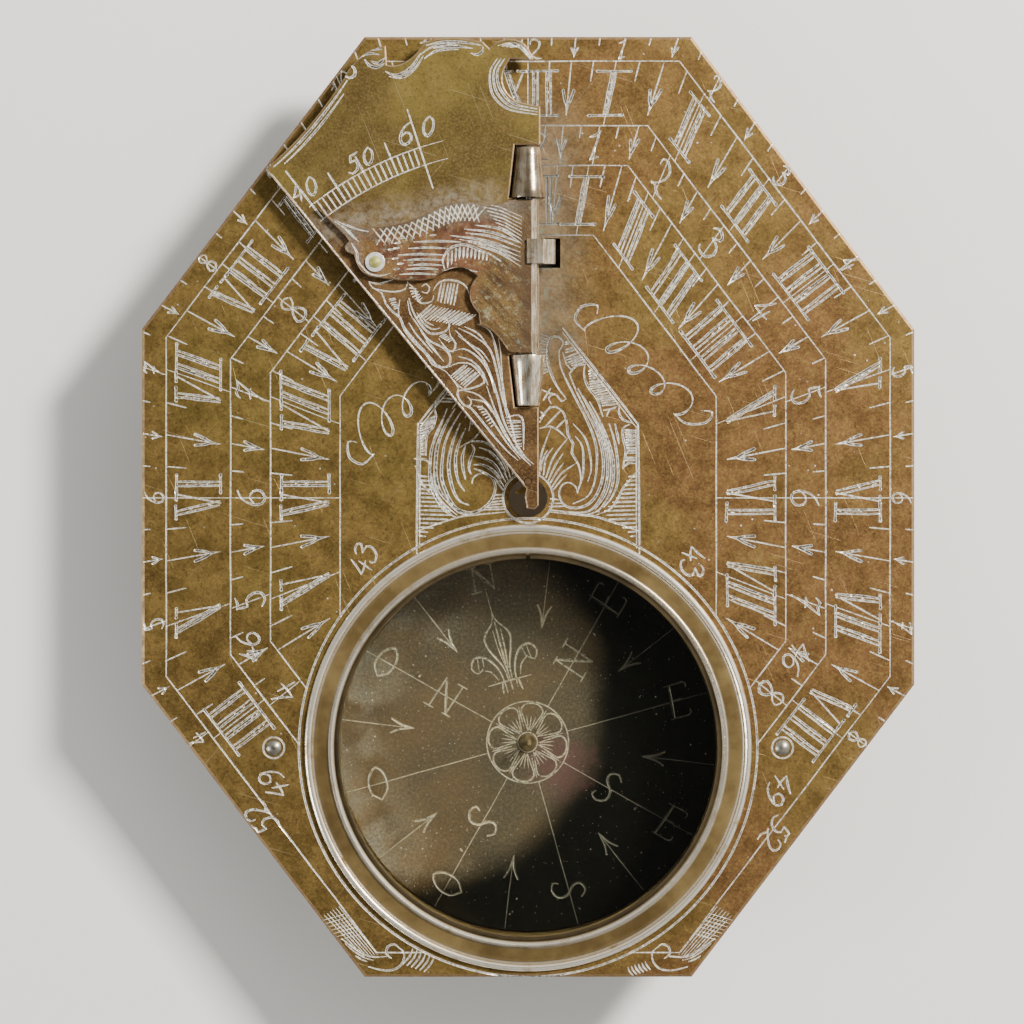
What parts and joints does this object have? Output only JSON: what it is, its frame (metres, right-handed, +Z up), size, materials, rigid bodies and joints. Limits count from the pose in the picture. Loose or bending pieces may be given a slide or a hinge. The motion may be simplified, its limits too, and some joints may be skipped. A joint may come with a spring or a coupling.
{
  "type": "pocket sundial",
  "caption": "Folding pocket sundial: an eight-sided engraved dial plate on a round compass box, with a hinged gnomon that adjusts for latitude.",
  "frame": {"origin": "on the table under the middle of the dial plate: the centre of the bounding box in plan, at the underside of the compass box", "axes": "+X to the right across the plate, +Y along the noon line away from the compass, +Z up out of the dial face"},
  "size_m": [0.06, 0.073, 0.0117],
  "materials": {
    "dial_brass": "olive-brown patina, cuts bright",
    "box_brass": "aged, turned",
    "floor_brass": "darkened, cuts grey",
    "bezel_brass": "turned, worn bright on the edges",
    "knuckle_brass": "worn smooth",
    "gnomon_brass": "golden brown patina, cuts bright",
    "bird_brass": "red-brown, corroded near the hinge",
    "rivet_brass": "worn bright",
    "washer_metal": "bright",
    "steel": "darkened steel",
    "glass": "clear, slightly dusty"
  },
  "bodies": {
    "dial": {"dial_plate": "dial_brass", "compass_drum": "box_brass", "compass_floor": "floor_brass", "pivot_pin": "rivet_brass", "compass_glass": "glass", "glass_retaining_ring": "bezel_brass", "bezel_ring": "bezel_brass", "compass_rivets": "steel", "north_knuckle": "knuckle_brass", "south_knuckle": "knuckle_brass", "hinge_pin": "steel", "detent_spring": "steel", "spring_screws": "steel"},
    "folding_leaf": {"gnomon_knuckle": "knuckle_brass", "cam_lug": "knuckle_brass", "bird_plate": "bird_brass", "back_plate": "box_brass", "eye_rivet": "rivet_brass", "eye_washer": "washer_metal", "pivot_rivet": "gnomon_brass"},
    "style": {"style_plate": "gnomon_brass"}
  },
  "joints": [
    {"name": "gnomon_fold", "type": "hinge", "parent": "dial", "child": "folding_leaf", "pos_m": [0, 0.01777, 0.01035], "axis": [0, 1, 0], "range_deg": [0, 90]},
    {"name": "latitude_set", "type": "hinge", "parent": "folding_leaf", "child": "style", "pos_m": [0, 0.00195, 0.01035], "axis": [0, 0, 1], "range_deg": [0, 20]}
  ]
}
